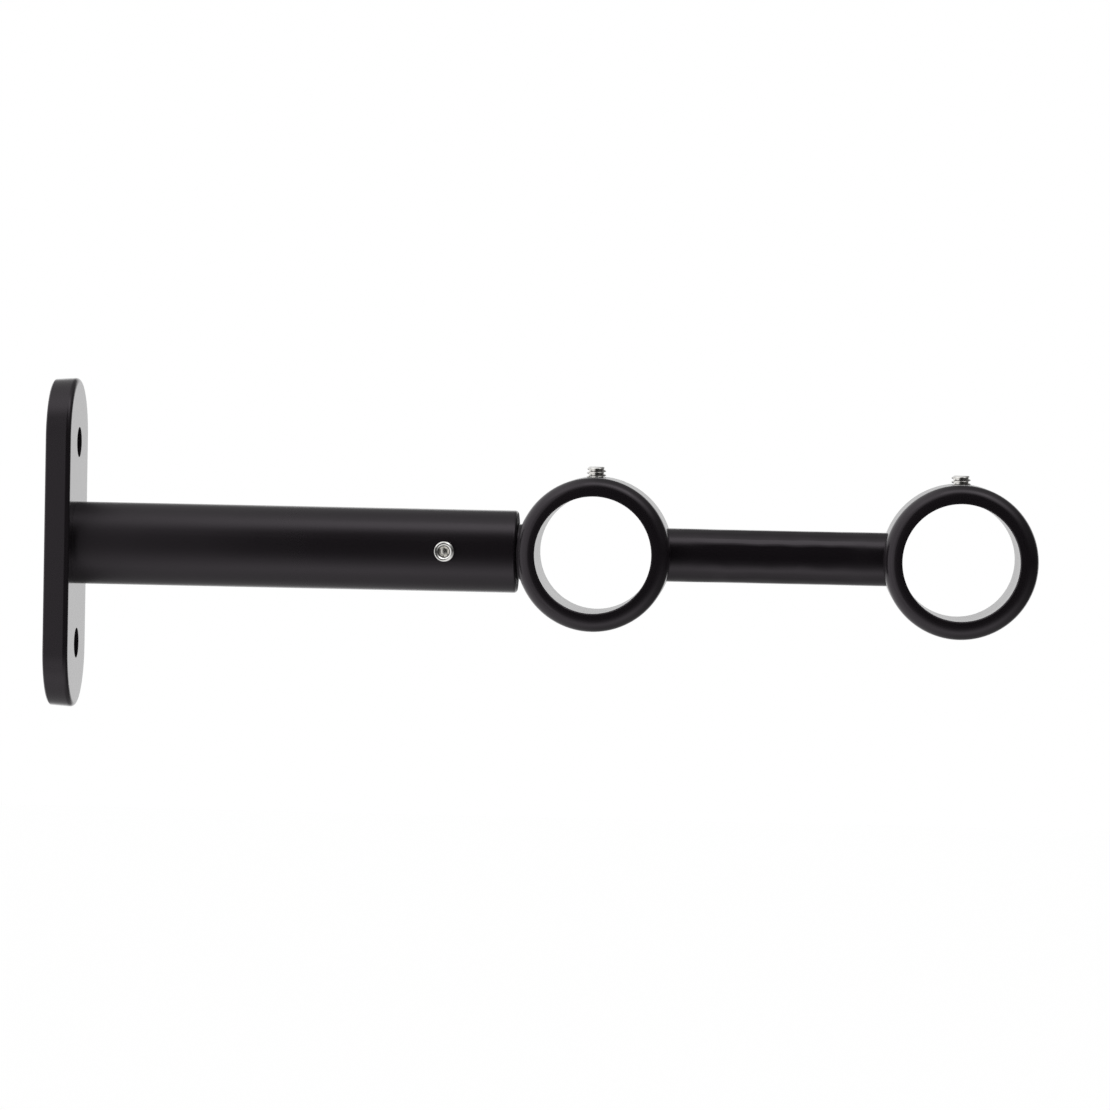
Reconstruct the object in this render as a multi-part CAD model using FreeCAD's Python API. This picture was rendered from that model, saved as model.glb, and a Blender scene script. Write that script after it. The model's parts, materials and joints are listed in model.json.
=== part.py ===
# Double curtain pole bracket. A wall plate carries a tube, a rod slides in the tube,
# and two rings on the rod each hold a pole. Sizes are in millimetres.
# Origin: centre of the wall plate's back face. +X out of the wall, +Y along the poles, +Z up.
import FreeCAD, Part
import math
import os

Vector = FreeCAD.Vector

# Rings and the poles that they hold
pole_diameter = 28.0
pole_clearance = 0.35           # all round the pole
ring_wall = 4.6
ring_width = 30.0
ring_edge_radius = 3.5          # rounding of the outer edges
bore_edge_chamfer = 0.3
ring_to_tube_gap = 0.15         # left when the slide rod is pushed right in

# Wall plate, with full-round ends
plate_height = 82.0
plate_width = 30.0
plate_thickness = 6.2           # with its coat
plate_edge_radius = 1.1         # rounding of the front edge
plate_side_draft = 4.0          # degrees, the sides draw in towards the wall
plate_back_chamfer = 0.3
wall_hole_diameter = 7.5
wall_hole_spacing = 50.0

# Outer tube
tube_diameter = 20.4            # with its coat
tube_length = 109.85
tube_edge_radius = 0.8          # rounding of the free end
tube_mouth_chamfer = 0.4

# Slide rod and connecting rod
slide_rod_diameter = 13.8
connecting_rod_diameter = 13.2  # with its coat
slide_clearance = 0.075         # between slide rod and tube, all round
slide_rod_end_gap = 16.0        # from the plug to the slide rod when pushed in
connecting_rod_length = 52.1    # showing between the two rings
rod_end_chamfer = 0.8
spigot_diameter = 8.0           # turned end of a rod, seated in a blind hole in the ring
spigot_wall_left = 1.2          # ring wall left between that hole and the bore

# Set screws: hexagon socket, chamfered head end, cup point
screw_diameter = 5.0
screw_thread_clearance = 0.05   # all round, at the thread's crest
ring_screw_length = 6.0
tube_screw_length = 4.0
screw_chamfer = 0.45
screw_socket_flats = 2.5
screw_socket_depth = 1.8
screw_cup_diameter = 2.4
inner_screw_tip_recess = 1.1    # from the inner ring's bore back to the screw's tip
outer_screw_tip_recess = 0.7
tube_screw_tip_gap = 0.3        # from the slide rod to the screw's tip
tube_screw_from_end = 17.65     # screw axis to the tube's free end

# Fixing of the tube to the plate: threaded plug in the tube, countersunk screw from behind
plug_length = 12.0
plug_chamfer = 0.5
plate_screw_diameter = 6.0
plate_screw_length = 16.0
plate_screw_hole_clearance = 0.2
plate_screw_head_diameter = 11.0
plate_screw_head_recess = 0.2   # head's face below the plate's back face
plate_screw_tip_chamfer = 0.8
plate_screw_socket_flats = 4.0
plate_screw_socket_depth = 2.4

# Worked out from the above
pole_bore_radius = pole_diameter / 2 + pole_clearance
ring_radius = pole_bore_radius + ring_wall
tube_bore_radius = slide_rod_diameter / 2 + slide_clearance
tube_end_x = plate_thickness + tube_length
inner_ring_x = tube_end_x + ring_to_tube_gap + ring_radius
outer_ring_x = inner_ring_x + connecting_rod_length + 2 * ring_radius
spigot_reach = pole_bore_radius + spigot_wall_left
tube_screw_x = tube_end_x - tube_screw_from_end
screw_radius = screw_diameter / 2 - screw_thread_clearance
drill_point_slope = math.tan(math.radians(31))

X_AXIS = Vector(1, 0, 0)
Y_AXIS = Vector(0, 1, 0)
Z_AXIS = Vector(0, 0, 1)


def turned(points, along, start):
    """Solid turned from (distance along the axis, radius) points, both ends on the axis."""
    corners = [Vector(radius, 0, distance) for distance, radius in points]
    edges = [Part.makeLine(a, b) for a, b in zip(corners, corners[1:] + corners[:1])]
    solid = Part.Face(Part.Wire(edges)).revolve(Vector(0, 0, 0), Z_AXIS, 360)
    solid.Placement = FreeCAD.Placement(start, FreeCAD.Rotation(Z_AXIS, along))
    return solid


def cylinder(radius, length, start, along):
    return Part.makeCylinder(radius, length, start, along)


def hexagon_bar(flats, length, start, along):
    """Six-sided bar that cuts a wrench socket."""
    corner_radius = flats / math.sqrt(3)
    corners = []
    for step in range(7):
        angle = math.radians(60 * step)
        corners.append(Vector(corner_radius * math.cos(angle), corner_radius * math.sin(angle), 0))
    bar = Part.Face(Part.makePolygon(corners)).extrude(Vector(0, 0, length))
    bar.Placement = FreeCAD.Placement(start, FreeCAD.Rotation(Z_AXIS, along))
    return bar


def wrench_socket(flats, depth, start, along):
    """Hexagon socket with the cone of its drilled hole at the bottom."""
    cone_radius = flats / 2
    cone_depth = cone_radius * drill_point_slope
    cone = turned([(0, 0), (0, cone_radius), (depth, cone_radius), (depth + cone_depth, 0)],
                  along, start)
    return hexagon_bar(flats, depth, start, along).fuse(cone)


def drafted_stadium(height, width, thickness, draft):
    """Plate with full-round ends, back face on X = 0, front face full size, sides drawn in at the back."""
    front_half = width / 2
    back_half = front_half - thickness * math.tan(math.radians(draft))
    arc_z = height / 2 - front_half
    corners = [Vector(0, -back_half, -arc_z), Vector(0, back_half, -arc_z),
               Vector(thickness, front_half, -arc_z), Vector(thickness, -front_half, -arc_z)]
    middle = Part.Face(Part.makePolygon(corners + corners[:1])).extrude(Vector(0, 0, 2 * arc_z))
    top = Part.makeCone(back_half, front_half, thickness, Vector(0, 0, arc_z), X_AXIS)
    bottom = Part.makeCone(back_half, front_half, thickness, Vector(0, 0, -arc_z), X_AXIS)
    return middle.fuse([top, bottom]).removeSplitter()


def edges_at(shape, axis, value):
    """Edges that lie whole in the plane where one coordinate has the given value."""
    found = []
    for edge in shape.Edges:
        box = edge.BoundBox
        low, high = getattr(box, axis + "Min"), getattr(box, axis + "Max")
        if abs(low - value) < 0.001 and abs(high - value) < 0.001:
            found.append(edge)
    return found


def wall_plate():
    plate = drafted_stadium(plate_height, plate_width, plate_thickness, plate_side_draft)
    plate = plate.makeFillet(plate_edge_radius, edges_at(plate, "X", plate_thickness))
    plate = plate.makeChamfer(plate_back_chamfer, edges_at(plate, "X", 0))
    for side in (-1, 1):
        start = Vector(0, 0, side * wall_hole_spacing / 2)
        plate = plate.cut(cylinder(wall_hole_diameter / 2, plate_thickness, start, X_AXIS))
    screw_hole_radius = plate_screw_diameter / 2 + plate_screw_hole_clearance
    sink_radius = plate_screw_head_diameter / 2 + plate_screw_head_recess
    countersink = turned([(0, 0), (0, sink_radius), (sink_radius - screw_hole_radius, screw_hole_radius),
                          (plate_thickness, screw_hole_radius), (plate_thickness, 0)],
                         X_AXIS, Vector(0, 0, 0))
    return plate.cut(countersink)


def outer_tube():
    start = Vector(plate_thickness, 0, 0)
    tube = cylinder(tube_diameter / 2, tube_length, start, X_AXIS)
    tube = tube.makeFillet(tube_edge_radius, edges_at(tube, "X", tube_end_x))
    tube = tube.cut(cylinder(tube_bore_radius, tube_length, start, X_AXIS))
    mouth_radius = tube_bore_radius + tube_mouth_chamfer
    mouth = turned([(0, 0), (0, mouth_radius), (tube_mouth_chamfer, tube_bore_radius),
                    (tube_mouth_chamfer, 0)], -X_AXIS, Vector(tube_end_x, 0, 0))
    tube = tube.cut(mouth)
    screw_hole = cylinder(screw_diameter / 2, tube_diameter / 2, Vector(tube_screw_x, 0, 0), -Y_AXIS)
    return tube.cut(screw_hole)


def tube_end_plug():
    """Plug pressed into the tube's wall end, tapped for the plate screw."""
    radius = tube_bore_radius
    plug = turned([(0, 0), (0, radius), (plug_length - plug_chamfer, radius),
                   (plug_length, radius - plug_chamfer), (plug_length, 0)],
                  X_AXIS, Vector(plate_thickness, 0, 0))
    tapped = cylinder(plate_screw_diameter / 2, plug_length, Vector(plate_thickness, 0, 0), X_AXIS)
    return plug.cut(tapped)


def plate_screw():
    """Countersunk screw that pulls the tube onto the plate from behind."""
    start = Vector(plate_screw_head_recess, 0, 0)
    head_radius = plate_screw_head_diameter / 2
    shank_radius = plate_screw_diameter / 2
    tip_radius = shank_radius - plate_screw_tip_chamfer
    screw = turned([(0, 0), (0, head_radius), (head_radius - shank_radius, shank_radius),
                    (plate_screw_length - plate_screw_tip_chamfer, shank_radius),
                    (plate_screw_length, tip_radius), (plate_screw_length, 0)],
                   X_AXIS, start)
    return screw.cut(wrench_socket(plate_screw_socket_flats, plate_screw_socket_depth, start, X_AXIS))


def pole_ring(centre_x, rod_sides):
    """Ring with its bore along Y, a tapped hole on top and a blind spigot hole on each rod side."""
    start = Vector(centre_x, -ring_width / 2, 0)
    ring = cylinder(ring_radius, ring_width, start, Y_AXIS)
    rims = edges_at(ring, "Y", -ring_width / 2) + edges_at(ring, "Y", ring_width / 2)
    ring = ring.makeFillet(ring_edge_radius, rims)
    ring = ring.cut(cylinder(pole_bore_radius, ring_width, start, Y_AXIS))
    bore_edge_radius = pole_bore_radius + bore_edge_chamfer
    for side in (-1, 1):
        face_centre = Vector(centre_x, side * ring_width / 2, 0)
        edge_cut = turned([(0, 0), (0, bore_edge_radius), (bore_edge_chamfer, pole_bore_radius),
                           (bore_edge_chamfer, 0)], -side * Y_AXIS, face_centre)
        ring = ring.cut(edge_cut)
    centre = Vector(centre_x, 0, 0)
    ring = ring.cut(cylinder(screw_diameter / 2, ring_radius, centre, Z_AXIS))
    for side in rod_sides:
        hole_start = centre + side * spigot_reach * X_AXIS
        hole = cylinder(spigot_diameter / 2, ring_wall, hole_start, side * X_AXIS)
        ring = ring.cut(hole)
    return ring


def coped_bar(diameter, start_x, end_x, ring_centres):
    """Round bar whose ends are shaped to the outside of the rings that they meet."""
    bar = cylinder(diameter / 2, end_x - start_x, Vector(start_x, 0, 0), X_AXIS)
    for centre_x in ring_centres:
        seat = cylinder(ring_radius, 2 * diameter, Vector(centre_x, -diameter, 0), Y_AXIS)
        bar = bar.cut(seat)
    return bar


def spigot(ring_centre_x, side):
    """Turned end that fills a ring's blind hole and runs on into the bar."""
    root_length = ring_wall + spigot_diameter
    start = Vector(ring_centre_x + side * spigot_reach, 0, 0)
    return cylinder(spigot_diameter / 2, root_length, start, side * X_AXIS)


def slide_rod():
    """Bar that slides in the tube and carries the inner ring on its end."""
    wall_end_x = plate_thickness + plug_length + slide_rod_end_gap
    bar = coped_bar(slide_rod_diameter, wall_end_x, inner_ring_x, [inner_ring_x])
    bar = bar.makeChamfer(rod_end_chamfer, edges_at(bar, "X", wall_end_x))
    return bar.fuse(spigot(inner_ring_x, -1))


def connecting_rod():
    bar = coped_bar(connecting_rod_diameter, inner_ring_x, outer_ring_x, [inner_ring_x, outer_ring_x])
    return bar.fuse(spigot(inner_ring_x, 1)).fuse(spigot(outer_ring_x, -1))


def set_screw(length, tip, outward):
    """Headless screw with its tip at the given point and its socket facing outward."""
    radius = screw_radius
    chamfer = screw_chamfer
    screw = turned([(0, 0), (0, radius - chamfer), (chamfer, radius), (length - chamfer, radius),
                    (length, radius - chamfer), (length, 0)], outward, tip)
    cup_radius = screw_cup_diameter / 2
    cup = turned([(0, 0), (0, cup_radius), (cup_radius / 2, 0)], outward, tip)
    socket = wrench_socket(screw_socket_flats, screw_socket_depth, tip + length * outward, -outward)
    return screw.cut(cup).cut(socket)


def ring_set_screw(ring_centre_x, tip_recess):
    tip = Vector(ring_centre_x, 0, pole_bore_radius + tip_recess)
    return set_screw(ring_screw_length, tip, Z_AXIS)


def tube_set_screw():
    tip = Vector(tube_screw_x, -(slide_rod_diameter / 2 + tube_screw_tip_gap), 0)
    return set_screw(tube_screw_length, tip, -Y_AXIS)


nodes = {
    "wall_plate": wall_plate(),
    "outer_tube": outer_tube(),
    "tube_end_plug": tube_end_plug(),
    "plate_screw": plate_screw(),
    "tube_set_screw": tube_set_screw(),
    "slide_rod": slide_rod(),
    "inner_ring": pole_ring(inner_ring_x, (-1, 1)),
    "inner_ring_screw": ring_set_screw(inner_ring_x, inner_screw_tip_recess),
    "connecting_rod": connecting_rod(),
    "outer_ring": pole_ring(outer_ring_x, (-1,)),
    "outer_ring_screw": ring_set_screw(outer_ring_x, outer_screw_tip_recess),
}

os.makedirs("parts", exist_ok=True)
for name, shape in nodes.items():
    shape.exportStep("parts/" + name + ".step")
    box = shape.BoundBox
    print(name, "solids", len(shape.Solids), "valid", shape.isValid(), "volume", round(shape.Volume, 1),
          "x", round(box.XMin, 2), round(box.XMax, 2), "y", round(box.YMin, 2), round(box.YMax, 2),
          "z", round(box.ZMin, 2), round(box.ZMax, 2))
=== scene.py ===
# Double curtain pole bracket: coats, bright set screws with real threads, studio and camera
import bmesh
import bpy
import json
import math
from mathutils import Matrix, Vector


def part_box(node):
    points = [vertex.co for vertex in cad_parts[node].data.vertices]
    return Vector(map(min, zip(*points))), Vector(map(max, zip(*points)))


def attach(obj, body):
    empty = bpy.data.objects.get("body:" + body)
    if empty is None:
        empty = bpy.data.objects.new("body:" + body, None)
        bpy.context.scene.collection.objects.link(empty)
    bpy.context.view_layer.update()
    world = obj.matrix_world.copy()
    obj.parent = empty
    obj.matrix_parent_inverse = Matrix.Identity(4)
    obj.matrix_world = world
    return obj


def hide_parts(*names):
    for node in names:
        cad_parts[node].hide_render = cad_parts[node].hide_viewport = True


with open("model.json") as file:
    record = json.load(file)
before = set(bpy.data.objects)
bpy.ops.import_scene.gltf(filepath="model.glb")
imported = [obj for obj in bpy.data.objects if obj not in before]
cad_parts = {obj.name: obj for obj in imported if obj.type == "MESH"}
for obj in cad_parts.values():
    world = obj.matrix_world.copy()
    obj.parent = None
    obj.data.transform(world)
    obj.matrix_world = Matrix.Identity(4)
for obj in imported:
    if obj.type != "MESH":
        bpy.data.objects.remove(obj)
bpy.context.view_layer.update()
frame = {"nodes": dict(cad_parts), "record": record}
print("frame loaded with", len(frame["nodes"]), "nodes")


# One output socket of a shader node, with Python's operators as shader maths
class Wire:
    def __init__(self, shader, socket):
        self.shader = shader
        self.socket = socket

    def maths(self, operation, *numbers):
        return self.shader.node("Math", {"operation": operation}, dict(enumerate(numbers)))

    def __add__(self, other):
        return self.maths("ADD", self, other)

    def __radd__(self, other):
        return self.maths("ADD", other, self)

    def __sub__(self, other):
        return self.maths("SUBTRACT", self, other)

    def __rsub__(self, other):
        return self.maths("SUBTRACT", other, self)

    def __mul__(self, other):
        return self.maths("MULTIPLY", self, other)

    def __rmul__(self, other):
        return self.maths("MULTIPLY", other, self)

    def __truediv__(self, other):
        return self.maths("DIVIDE", self, other)

    def __neg__(self):
        return self.maths("MULTIPLY", self, -1.0)

    # 0 below start, 1 above end, smooth between; start may be the larger one
    def ease(self, start, end):
        low, high = min(start, end), max(start, end)
        rising = {"interpolation_type": "SMOOTHSTEP"}
        eased = self.shader.node("MapRange", rising, {"Value": self, "From Min": low, "From Max": high})
        return eased if start < end else 1 - eased


# A node tree that is built by one method
class Shader:
    def __init__(self, tree):
        self.tree = tree
        tree.nodes.clear()

    def node(self, kind, settings=None, values=None, output=0):
        made = self.tree.nodes.new("ShaderNode" + kind)
        for name, setting in (settings or {}).items():
            if name == "stops":
                self.setStops(made.color_ramp, setting)
            else:
                setattr(made, name, setting)
        for name, value in (values or {}).items():
            if isinstance(value, Wire):
                self.tree.links.new(value.socket, made.inputs[name])
            else:
                made.inputs[name].default_value = value
        return Wire(self, made.outputs[output]) if made.outputs else None

    def setStops(self, ramp, stops):
        while len(ramp.elements) < len(stops):
            ramp.elements.new(1.0)
        for element, (place, grey) in zip(ramp.elements, stops):
            element.position = place
            element.color = (grey, grey, grey, 1.0)

    def mixColour(self, share, first, second):
        return self.node("Mix", {"data_type": "RGBA"}, {0: share, 6: first, 7: second}, output=2)

    # noise whose spots are about size metres wide, from 0 to 1
    def spots(self, point, size, detail=2.0):
        return self.node("TexNoise", {"noise_dimensions": "3D"},
                         {"Vector": point, "Scale": 1.0 / size, "Detail": detail, "Roughness": 0.55})

    # one coordinate, X, Y or Z, of a point or a direction
    def coordinate(self, place, axis):
        return self.node("SeparateXYZ", None, {0: place}, output=axis)

    def show(self, kind, surface):
        self.node(kind, None, {"Surface": surface})


def newMaterial(name):
    material = bpy.data.materials.new(name)
    material.use_nodes = True
    return material, Shader(material.node_tree)


# Black coats: powder coat on plate, tube and rings, smoother paint on the rods. On the tube the powder is
# dry and rough towards the plate's corner and on the sawn end. The paint between the rings has run a
# little and is dull at the ends. The clear skin on top shows most at a slanting look
powderCoat = {
    "slot": "satin_black",
    "dark": (0.0105, 0.0084, 0.0104, 1.0), "light": (0.0160, 0.0132, 0.0156, 1.0),
    "tint": (1.0, 0.91, 1.0, 1.0), "grainShare": 0.4,
    "roughness": {"wall_plate": 0.28, "outer_tube": 0.24, "inner_ring": 0.18, "outer_ring": 0.18},
    "edgeOnRoughness": {"wall_plate": 0.16, "outer_tube": 0.24, "inner_ring": 0.21, "outer_ring": 0.21},
    "roughnessSpread": 0.05, "clearCoat": 0.35, "clearCoatRoughness": 0.12,
    "dryCorner": 0.18, "dryCornerReach": 0.085,
    "sawnEnd": 0.40, "sawnEndFrom": 0.00020, "sawnEndFull": 0.00002,
    "peelSize": 0.0016, "peelHeight": 0.0000030,
    "grainSize": 0.00025, "grainHeight": 0.0000006,
    "patchSize": 0.014,
}
glossPaint = {
    "slot": "gloss_black",
    "dark": (0.0100, 0.0080, 0.0100, 1.0), "light": (0.0140, 0.0114, 0.0138, 1.0),
    "tint": (1.0, 0.91, 1.0, 1.0), "grainShare": 0.4,
    "roughness": {"slide_rod": 0.08, "connecting_rod": 0.05},
    "edgeOnRoughness": {"slide_rod": 0.12, "connecting_rod": 0.11},
    "roughnessSpread": 0.03, "clearCoat": 0.10, "clearCoatRoughness": 0.05,
    "dullEnds": 0.17, "wetMiddle": 0.013, "dullFrom": 0.021,
    "runSize": 0.0085, "runHeight": 0.00028,
    "peelSize": 0.0030, "peelHeight": 0.0000012,
    "grainSize": 0.00030, "grainHeight": 0.0000001,
    "patchSize": 0.020,
}

# How slanting a look is, told by the share of light that the paint throws back
paintIor = 1.5
slantingLook = {"from": 0.10, "full": 0.45, "gone": 0.80}


def blackCoat(look, node):
    material, shader = newMaterial(look["slot"] + "_" + node)
    point = shader.node("TexCoord", output="Object")
    peel = shader.spots(point, look["peelSize"], 1.0)
    grain = shader.spots(point, look["grainSize"], 3.0)
    patch = shader.spots(point, look["patchSize"])
    share = patch * (1 - look["grainShare"]) + grain * look["grainShare"]
    colour = shader.mixColour(share, look["dark"], look["light"])
    fresnel = shader.node("Fresnel", None, {"IOR": paintIor})
    edgeOn = fresnel.ease(slantingLook["from"], slantingLook["full"])
    fading = fresnel.ease(slantingLook["gone"], slantingLook["full"])
    roughness = look["roughness"][node] + (patch * 0.5 + grain * 0.5 - 0.5) * (2 * look["roughnessSpread"])
    roughness = roughness + edgeOn * (look["edgeOnRoughness"][node] - look["roughness"][node])
    if node == "outer_tube":
        alongTube = shader.coordinate(point, "X")
        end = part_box(node)[1].x
        sawn = alongTube.ease(end - look["sawnEndFrom"], end - look["sawnEndFull"])
        roughness = roughness + alongTube.ease(look["dryCornerReach"], 0.0) * look["dryCorner"]
        roughness = roughness + sawn * look["sawnEnd"]
    height = peel * look["peelHeight"] + grain * look["grainHeight"]
    if node == "connecting_rod":
        low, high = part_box(node)
        fromMiddle = shader.coordinate(point, "X") - (low.x + high.x) / 2
        fromMiddle = fromMiddle.maths("ABSOLUTE", fromMiddle)
        roughness = roughness + fromMiddle.ease(look["wetMiddle"], look["dullFrom"]) * look["dullEnds"]
        height = height + shader.spots(point, look["runSize"], 1.0) * look["runHeight"]
    normal = shader.node("Bump", None, {"Strength": 1.0, "Distance": 1.0, "Height": height})
    skin = shader.node("BsdfPrincipled", None,
                       {"Base Color": colour, "Roughness": roughness, "Normal": normal, "IOR": paintIor,
                        "Specular Tint": look["tint"], "Coat Roughness": look["clearCoatRoughness"],
                        "Coat Weight": edgeOn * fading * look["clearCoat"]})
    shader.show("OutputMaterial", skin)
    return material


# Bare metals: nickel on the set screws, zinc on the fixing behind the plate
brightNickel = {
    "name": "brightNickel", "slot": "bright_steel",
    "dark": (0.78, 0.77, 0.75, 1.0), "light": (0.95, 0.94, 0.92, 1.0),
    "metallic": 1.0, "roughness": 0.14, "roughnessSpread": 0.05,
    "grainSize": 0.00012, "grainHeight": 0.0000012,
    "patchSize": 0.0016, "grainShare": 0.3,
}
plainZinc = {
    "name": "plainZinc", "slot": "plain_steel",
    "dark": (0.50, 0.51, 0.50, 1.0), "light": (0.63, 0.63, 0.60, 1.0),
    "metallic": 1.0, "roughness": 0.30, "roughnessSpread": 0.08,
    "grainSize": 0.00030, "grainHeight": 0.0000020,
    "patchSize": 0.0040, "grainShare": 0.3,
}


# Floor of a set screw's socket: punched, duller and warmer than the rest
socketFloor = {
    "name": "socketFloor", "slot": "bright_steel",
    "dark": (0.74, 0.71, 0.66, 1.0), "light": (0.94, 0.92, 0.87, 1.0),
    "metallic": 0.94, "roughness": 0.20, "roughnessSpread": 0.06,
    "grainSize": 0.00012, "grainHeight": 0.0000030,
    "patchSize": 0.0009, "grainShare": 0.3,
}


def bareMetal(look):
    material, shader = newMaterial(look["name"])
    point = shader.node("TexCoord", output="Object")
    grain = shader.spots(point, look["grainSize"], 4.0)
    patch = shader.spots(point, look["patchSize"], 3.0)
    share = patch * (1 - look["grainShare"]) + grain * look["grainShare"]
    colour = shader.mixColour(share, look["dark"], look["light"])
    roughness = look["roughness"] + (grain + patch - 1.0) * look["roughnessSpread"]
    height = grain * look["grainHeight"]
    normal = shader.node("Bump", None, {"Strength": 1.0, "Distance": 1.0, "Height": height})
    metal = shader.node("BsdfPrincipled", None,
                        {"Base Color": colour, "Roughness": roughness, "Metallic": look["metallic"],
                         "Normal": normal})
    shader.show("OutputMaterial", metal)
    return material


coats = {look["slot"]: look for look in (powderCoat, glossPaint)}
metals = {look["slot"]: bareMetal(look) for look in (brightNickel, plainZinc)}
matFloor = bareMetal(socketFloor)
for subpart in frame["record"]["subparts"]:
    name, slot = subpart["node"], subpart["material_slot"]
    finish = blackCoat(coats[slot], name) if slot in coats else metals[slot]
    for materialSlot in frame["nodes"][name].material_slots:
        materialSlot.material = finish


# Set screws with a cut thread, a wrench socket with a domed floor, and a cup point; lengths in metres
screwThread = {
    "pitch": 0.0010, "depth": 0.00056, "crest": 0.12, "root": 0.20,
    "slices": 96, "crestRows": 2, "flankRows": 7, "rootRows": 2,
    "socketFlats": 0.0027, "socketMouth": 0.00372, "socketLip": 0.00312, "mouthSlope": 0.72,
    "socketDepth": 0.0011, "domeHeight": 0.00040, "domeRings": 6, "cup": 0.0024,
}
setScrews = [
    {"name": "innerRingSetScrew", "node": "inner_ring_screw", "body": "inner_screw", "outward": (0, 0, 1),
     "chamfer": 0.00060, "threadTurn": 0.0},
    {"name": "outerRingSetScrew", "node": "outer_ring_screw", "body": "outer_screw", "outward": (0, 0, 1),
     "chamfer": 0.00048, "threadTurn": 0.0},
    {"name": "tubeSetScrew", "node": "tube_set_screw", "body": "tube_screw", "outward": (0, -1, 0),
     "chamfer": 0.00030, "threadTurn": 0.52},
]


# Depth of the thread's groove at a place in its pitch: flat crest, flank, flat root, flank
def grooveDepth(phase, thread):
    flank = (1 - thread["crest"] - thread["root"]) / 2
    fromRoot = abs((phase % 1.0) - 0.5) - thread["root"] / 2
    return thread["depth"] * min(1.0, max(0.0, 1 - fromRoot / flank))


# Places in one pitch where the thread gets a row of points, so that rows run along its edges
def threadPhases(thread):
    flank = (1 - thread["crest"] - thread["root"]) / 2
    stretches = [(thread["crest"] / 2, thread["crestRows"]), (flank, thread["flankRows"]),
                 (thread["root"], thread["rootRows"]), (flank, thread["flankRows"]),
                 (thread["crest"] / 2, thread["crestRows"])]
    phases, start = [], 0.0
    for length, rows in stretches:
        phases.extend(start + length * row / rows for row in range(rows))
        start += length
    return phases


def hexagonRadius(angle, flats):
    return flats / 2 / math.cos((angle + math.pi / 6) % (math.pi / 3) - math.pi / 6)


# Rows of (distance from the tip, radius) for each angle: from the cup's centre, along the thread, to the
# middle of the socket's floor
def screwRows(crest, length, screw, thread, angles):
    def ring(along, radii):
        return [(along, radius) for radius in radii]

    def onThread(phase, angle):
        turn = angle / (2 * math.pi) + screw["threadTurn"]
        along = min(length, max(0.0, (phase + turn) * thread["pitch"]))
        cut = grooveDepth(along / thread["pitch"] - turn, thread)
        endRadius = crest - screw["chamfer"]
        return along, min(crest - cut, endRadius - thread["depth"] / 2 + along, endRadius + length - along)

    count = len(angles)
    cupRadius = thread["cup"] / 2
    rows = [ring(cupRadius / 2, [0.0] * count), ring(0.0, [cupRadius] * count)]
    for turn in range(-2, math.ceil(length / thread["pitch"]) + 1):  # from below the tip to past the end
        for phase in threadPhases(thread):
            rows.append([onThread(turn + phase, angle) for angle in angles])
    mouth, lip, dome = thread["socketMouth"] / 2, thread["socketLip"] / 2, thread["socketFlats"] / 2
    hexagon = [hexagonRadius(angle, thread["socketFlats"]) for angle in angles]
    floor = length - thread["socketDepth"]
    ledge = length - (mouth - lip) * thread["mouthSlope"]
    rows.append(ring(length, [mouth] * count))
    rows.append(ring(ledge, [lip] * count))
    rows.append(ring(ledge, hexagon))
    rows.append(ring(floor, hexagon))
    for step in range(thread["domeRings"] + 1):
        share = 1 - step / thread["domeRings"]
        rows.append(ring(floor + thread["domeHeight"] * (1 - share ** 2), [dome * share] * count))
    return rows


def buildSetScrew(screw, thread):
    low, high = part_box(screw["node"])
    outward = Vector(screw["outward"])
    size = high - low
    length = abs(size.dot(outward))
    crest = (size.x + size.y + size.z - length) / 4
    tip = (low + high) / 2 - outward * length / 2
    across = Vector((1, 0, 0))
    upright = outward.cross(across)
    slices = thread["slices"]
    angles = [2 * math.pi * k / slices for k in range(slices + 1)]
    rows = screwRows(crest, length, screw, thread, angles)
    points = []
    for row in rows:
        for angle, (along, radius) in zip(angles, row):
            spoke = across * math.cos(angle) + upright * math.sin(angle)
            points.append(tip + outward * along + spoke * radius)
    faces = []
    for row in range(len(rows) - 1):
        for k in range(slices):
            here = row * (slices + 1) + k
            faces.append((here, here + 1, here + slices + 2, here + slices + 1))
    mesh = bpy.data.meshes.new(screw["name"])
    mesh.from_pydata(points, [], faces)
    for face in mesh.polygons[-thread["domeRings"] * slices:]:
        face.material_index = 1  # the socket's floor
    weldAndShade(mesh)
    piece = bpy.data.objects.new(screw["name"], mesh)
    bpy.context.scene.collection.objects.link(piece)
    mesh.materials.append(metals["bright_steel"])
    mesh.materials.append(matFloor)
    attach(piece, screw["body"])
    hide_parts(screw["node"])
    return piece


welding = {"reach": 0.000001, "crispFrom": 35}  # metres and degrees


# Merges points that meet, on the screw's axis and at its seam, and keeps the sharper edges crisp
def weldAndShade(mesh):
    shape = bmesh.new()
    shape.from_mesh(mesh)
    bmesh.ops.remove_doubles(shape, verts=shape.verts, dist=welding["reach"])
    bmesh.ops.recalc_face_normals(shape, faces=shape.faces)
    shape.to_mesh(mesh)
    shape.free()
    mesh.shade_smooth()
    mesh.set_sharp_from_angle(angle=math.radians(welding["crispFrom"]))


for screw in setScrews:
    made = buildSetScrew(screw, screwThread)
    print("set screw", made.name, "has", len(made.data.polygons), "faces")


# Pale floor below the bracket: white to the camera, with the bracket's soft shadow left in it
floorLook = {"height": -0.60, "halfSize": 6.0, "white": (1.0, 1.0, 1.0, 1.0), "glow": 1.16,
             "shadowShare": 0.30}


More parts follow.
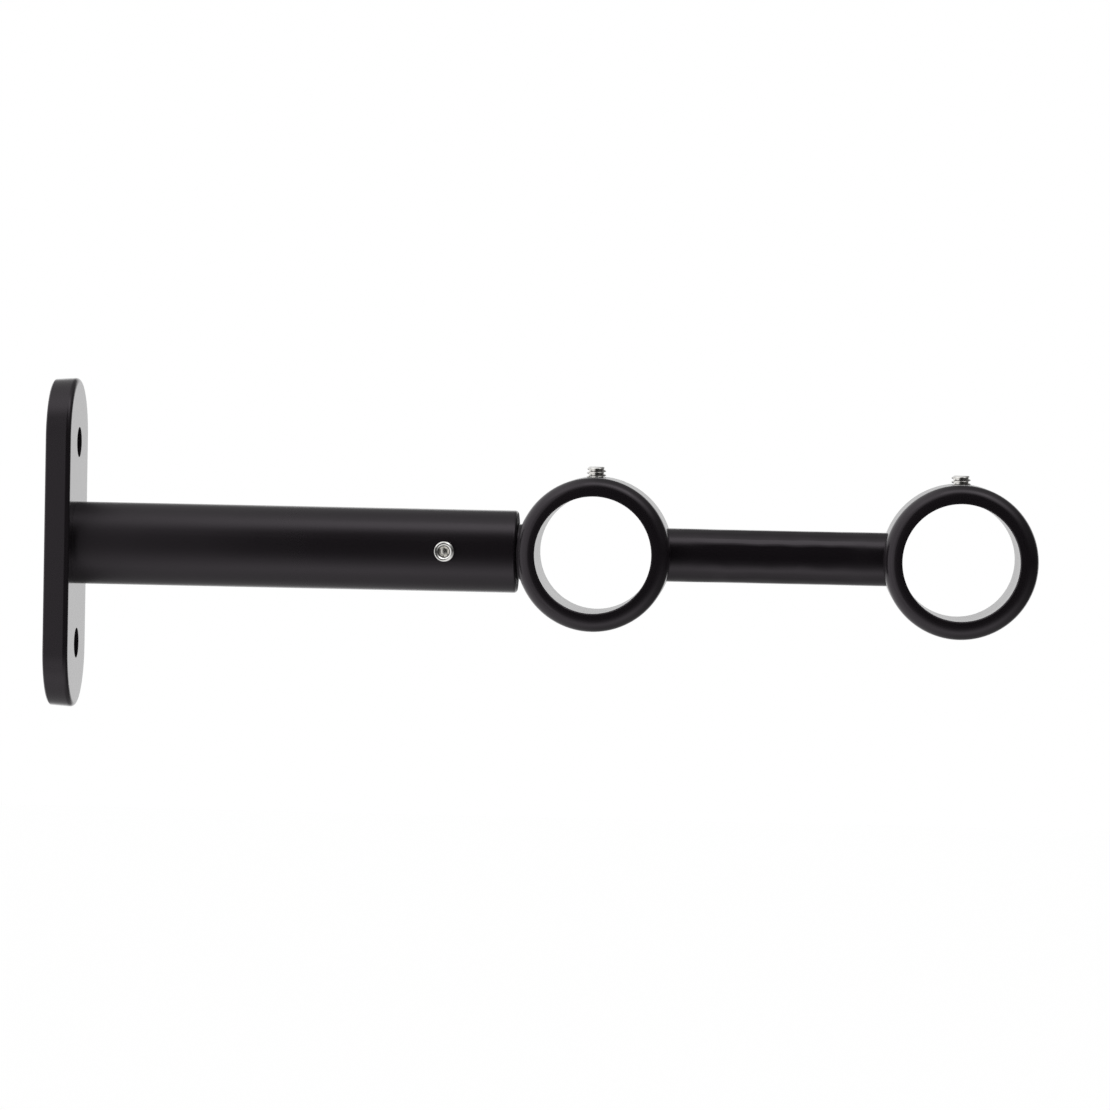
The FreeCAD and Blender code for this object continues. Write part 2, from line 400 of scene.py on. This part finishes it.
def buildFloor(look):
    half, height = look["halfSize"], look["height"]
    corners = [(-half, -half, height), (half, -half, height), (half, half, height), (-half, half, height)]
    mesh = bpy.data.meshes.new("floor")
    mesh.from_pydata(corners, [], [(0, 1, 2, 3)])
    floor = bpy.data.objects.new("floor", mesh)
    bpy.context.scene.collection.objects.link(floor)
    material, shader = newMaterial("paleFloor")
    paint = shader.node("BsdfDiffuse", None, {"Color": look["white"]})
    glow = shader.node("Emission", None, {"Color": look["white"], "Strength": look["glow"]})
    rays = shader.node("LightPath", output="Is Camera Ray")
    glossy = shader.node("LightPath", output="Is Glossy Ray")
    seen = rays.maths("MAXIMUM", rays, glossy)
    surface = shader.node("MixShader", None, {0: seen * (1 - look["shadowShare"]), 1: paint, 2: glow})
    shader.show("OutputMaterial", surface)
    mesh.materials.append(material)
    floor.visible_glossy = False
    floor.visible_diffuse = False
    floor.visible_shadow = False


# Studio seen from the bracket: white behind, soft light from the left, above and below, dark at the
# camera and on the right. Each spoke leaves the camera's side of the sky at a clock angle, 0 right and
# 90 up, and lists (degrees from the camera's side, brightness); 180 degrees is the backdrop
studio = {
    "backdrop": 1.0, "backdropFrom": 150.0, "backdropTo": 165.0,
    "spokes": {
        -150: [(0, 0.02), (15, 0.05), (42, 0.10), (50, 0.28), (60, 0.72), (80, 1.02), (180, 1.00)],
        -120: [(0, 0.02), (12, 0.05), (28, 0.26), (45, 0.72), (60, 0.86), (100, 0.72), (130, 0.60),
               (180, 1.00)],
        -90: [(0, 0.02), (14, 0.04), (24, 0.10), (34, 0.22), (47, 0.58), (58, 0.84), (66, 0.84),
              (80, 0.56), (105, 0.32), (140, 0.30), (160, 0.60), (180, 1.00)],
        -60: [(0, 0.02), (14, 0.05), (32, 0.30), (46, 0.68), (58, 0.88), (80, 0.56), (105, 0.32),
              (140, 0.28), (160, 0.60), (180, 1.00)],
        -30: [(0, 0.02), (20, 0.04), (40, 0.16), (60, 0.34), (85, 0.22), (120, 0.12), (134, 0.10),
              (149, 1.00), (180, 1.00)],
        0: [(0, 0.02), (60, 0.03), (100, 0.05), (134, 0.06), (149, 1.00), (180, 1.00)],
        30: [(0, 0.02), (35, 0.04), (60, 0.22), (80, 0.18), (112, 0.12), (134, 0.10), (149, 1.00),
             (180, 1.00)],
        60: [(0, 0.02), (45, 0.03), (56, 0.90), (68, 1.60), (80, 1.20), (92, 0.55), (115, 0.30),
             (145, 0.20), (160, 0.80), (180, 1.00)],
        90: [(0, 0.02), (49, 0.03), (60, 0.70), (72, 0.90), (84, 0.82), (98, 0.52), (112, 0.32),
             (150, 0.15), (166, 0.60), (180, 1.00)],
        120: [(0, 0.02), (38, 0.04), (52, 0.85), (64, 1.45), (90, 1.05), (120, 0.75), (150, 0.60),
              (180, 1.00)],
        150: [(0, 0.02), (25, 0.04), (42, 0.10), (50, 0.38), (60, 0.88), (95, 1.08), (120, 0.95),
              (180, 1.00)],
        180: [(0, 0.02), (12, 0.08), (25, 0.20), (42, 0.36), (50, 0.50), (60, 0.85), (100, 0.90),
              (180, 1.00)],
    },
}
brightest = 2.0  # a ramp holds 0 to 1, so its greys are shares of this


def buildStudio(look):
    world = bpy.context.scene.world or bpy.data.worlds.new("studio")
    bpy.context.scene.world = world
    world.use_nodes = True
    shader = Shader(world.node_tree)
    direction = shader.node("TexCoord", output="Generated")
    x = shader.coordinate(direction, "X")
    y = shader.coordinate(direction, "Y")
    z = shader.coordinate(direction, "Z")
    degree = 180 / math.pi
    fromCamera = y.maths("ARCCOSINE", -y) * degree
    clock = z.maths("ARCTAN2", z, x) * degree
    apart = 360 / len(look["spokes"])
    level = 0.0
    for angle, stops in look["spokes"].items():
        ramp = [(place / 180, brightness / brightest) for place, brightness in stops]
        spoke = shader.node("ValToRGB", {"stops": ramp}, {"Fac": fromCamera / 180}) * brightest
        turned = clock.maths("WRAP", clock - angle, 180.0, -180.0)
        share = turned.maths("MAXIMUM", 1 - turned.maths("ABSOLUTE", turned) / apart, 0.0)
        level = level + spoke * share
    rays = shader.node("LightPath", output="Is Camera Ray")
    through = shader.node("LightPath", output="Is Transmission Ray")
    glossy = shader.node("LightPath", output="Is Glossy Ray")
    behind = fromCamera.ease(look["backdropFrom"], look["backdropTo"])
    seen = rays.maths("MAXIMUM", rays.maths("MAXIMUM", rays, through), glossy * behind)
    strength = level + seen * (look["backdrop"] - level)
    white = shader.node("Background", None, {"Color": (1.0, 1.0, 1.0, 1.0), "Strength": strength})
    shader.show("OutputWorld", white)


# Softboxes near the bracket: one at the front left, which lights the wall end most, and one above the
# rings; brightness is what the bracket sees of each box's face
softboxes = [
    {"name": "leftBox", "place": (-0.35, -0.55, 0.0), "faces": (0, 1, 0),
     "width": 0.50, "height": 0.90, "brightness": 0.35},
    {"name": "topBox", "place": (0.32, -0.30, 0.95), "faces": (0, 0.3, -0.95),
     "width": 0.70, "height": 0.36, "brightness": 0.42},
]


def buildSoftbox(look):
    lamp = bpy.data.lights.new(look["name"], "AREA")
    lamp.shape = "RECTANGLE"
    lamp.size = look["width"]
    lamp.size_y = look["height"]
    lamp.energy = 4 * look["width"] * look["height"] * look["brightness"]
    holder = bpy.data.objects.new(look["name"], lamp)
    bpy.context.scene.collection.objects.link(holder)
    turn = Vector(look["faces"]).to_track_quat("-Z", "Y").to_matrix().to_4x4()
    holder.matrix_world = Matrix.Translation(look["place"]) @ turn
    holder.visible_camera = False


def buildCamera(look):
    lens = bpy.data.cameras.new("camera")
    lens.lens = look["lens"]
    lens.sensor_width = look["sensor"]
    lens.clip_end = look["reach"]
    camera = bpy.data.objects.new("camera", lens)
    bpy.context.scene.collection.objects.link(camera)
    yaw, pitch, roll = look["yaw"], look["pitch"], look["roll"]
    forward = Vector((math.sin(yaw) * math.cos(pitch), math.cos(yaw) * math.cos(pitch), math.sin(pitch)))
    level = Vector((math.cos(yaw), -math.sin(yaw), 0.0))
    upward = level.cross(forward)
    right = level * math.cos(roll) + upward * math.sin(roll)
    top = upward * math.cos(roll) - level * math.sin(roll)
    turn = Matrix((right, top, -forward)).transposed().to_4x4()
    camera.matrix_world = Matrix.Translation(look["place"]) @ turn
    bpy.context.scene.camera = camera


# Fitted to the photo's 1110 pixel frame; angles in radians
cameraLook = {"place": (0.18134, -1.15084, 0.03662), "yaw": -0.04871, "pitch": -0.0323, "roll": 0.0197,
              "lens": 150.84, "sensor": 36.0, "reach": 100.0}

buildFloor(floorLook)
buildStudio(studio)
for softbox in softboxes:
    buildSoftbox(softbox)
buildCamera(cameraLook)
bpy.context.scene.view_settings.view_transform = "Standard"
print("floor, studio and camera in place")
